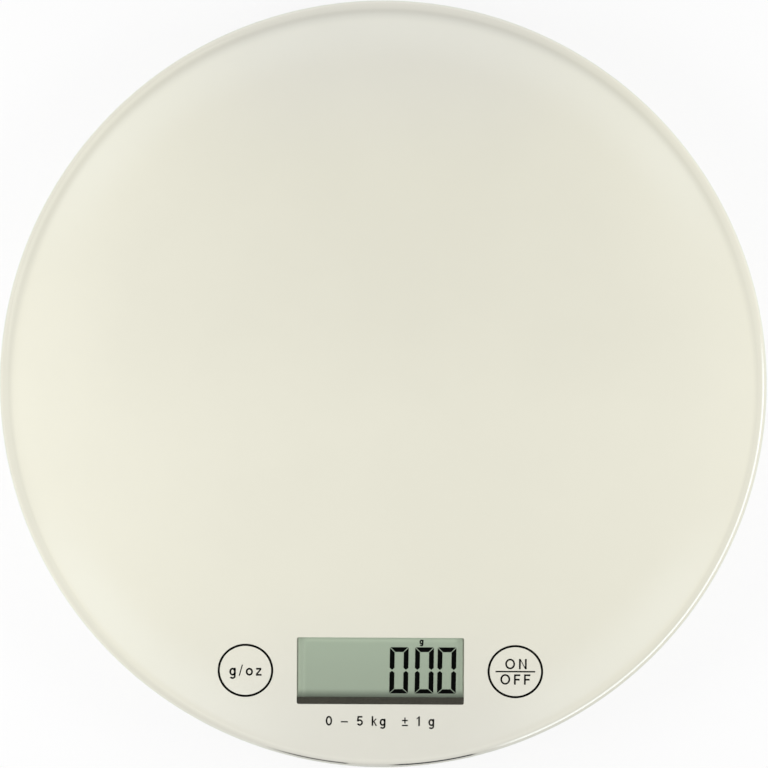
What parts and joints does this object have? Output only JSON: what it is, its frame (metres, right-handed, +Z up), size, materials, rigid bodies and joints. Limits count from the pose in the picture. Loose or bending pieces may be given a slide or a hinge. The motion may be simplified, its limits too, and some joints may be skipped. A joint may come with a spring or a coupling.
{
  "type": "digital kitchen scale",
  "caption": "Round flat kitchen scale: glass platter over a cream enamel print, clear display and two touch keys at the front, one central load cell, turning battery cover below.",
  "frame": {"origin": "centre of the footprint, on the plane of the feet", "axes": "+Z up, square to the glass; -Y towards the display and keys; +X to the user's right"},
  "size_m": [0.2, 0.2, 0.02],
  "materials": {
    "platter_glass": "clear tempered float glass, polished edge",
    "cream_enamel": "cream screen-printed enamel seen through the glass",
    "adhesive_foam": "matt double-sided foam tape",
    "cream_plastic": "finely grained moulded ABS",
    "black_foam": "matt black closed-cell foam",
    "display_film": "grey-green polarising film",
    "display_glass": "thin clear display glass",
    "display_reflector": "grey-green reflecting film",
    "black_rubber": "matt rubber",
    "black_plastic": "moulded black plastic",
    "board_laminate": "green solder mask over laminate",
    "black_resin": "glossy black resin drop",
    "component_ceramic": "ceramic and moulded components",
    "spring_steel": "tinned spring wire",
    "zinc_steel": "zinc-plated steel",
    "cell_aluminium": "milled aluminium alloy",
    "white_rubber": "white silicone coating",
    "foot_rubber": "matt dark grey rubber",
    "nickel_steel": "nickel-plated pressed steel",
    "contact_bronze": "plated spring bronze strip",
    "wire_jacket": "thin coloured insulation"
  },
  "bodies": {
    "base": {"lower_base": "cream_plastic", "load_cell": "cell_aluminium", "gauge_coating": "white_rubber", "cell_base_plate": "zinc_steel", "cell_base_screws": "zinc_steel", "foot_front_left": "foot_rubber", "foot_front_right": "foot_rubber", "foot_rear_left": "foot_rubber", "foot_rear_right": "foot_rubber", "coin_cell_can": "nickel_steel", "coin_cell_seal": "black_rubber", "coin_cell_cap": "nickel_steel", "positive_contact": "contact_bronze", "negative_contact": "contact_bronze", "load_cell_wires": "wire_jacket", "battery_wires": "wire_jacket"},
    "platform": {"glass_platter": "platter_glass", "enamel_print": "cream_enamel", "mounting_tape": "adhesive_foam", "platform_tray": "cream_plastic", "display_gasket": "black_foam", "lcd_front_film": "display_film", "lcd_front_glass": "display_glass", "lcd_rear_glass": "display_glass", "lcd_rear_film": "display_reflector", "zebra_strip": "black_rubber", "display_frame": "black_plastic", "circuit_board": "board_laminate", "chip_coating": "black_resin", "board_components": "component_ceramic", "left_key_spring": "spring_steel", "right_key_spring": "spring_steel", "board_screws": "zinc_steel", "cell_tray_plate": "zinc_steel", "cell_tray_screws": "zinc_steel"},
    "battery_cover": {"battery_cover": "cream_plastic"}
  },
  "joints": [
    {"name": "platform_press", "type": "slide", "parent": "base", "child": "platform", "axis": [0, 0, 1], "range_m": [-0.0005, 0], "stiffness_N_per_m": 100000, "springref_m": 0.00006, "deforming": ["load_cell", "gauge_coating", "load_cell_wires", "battery_wires"]},
    {"name": "battery_cover_turn", "type": "hinge", "parent": "base", "child": "battery_cover", "pos_m": [0, 0.046, 0.002], "axis": [0, 0, 1], "range_deg": [0, 45]}
  ]
}
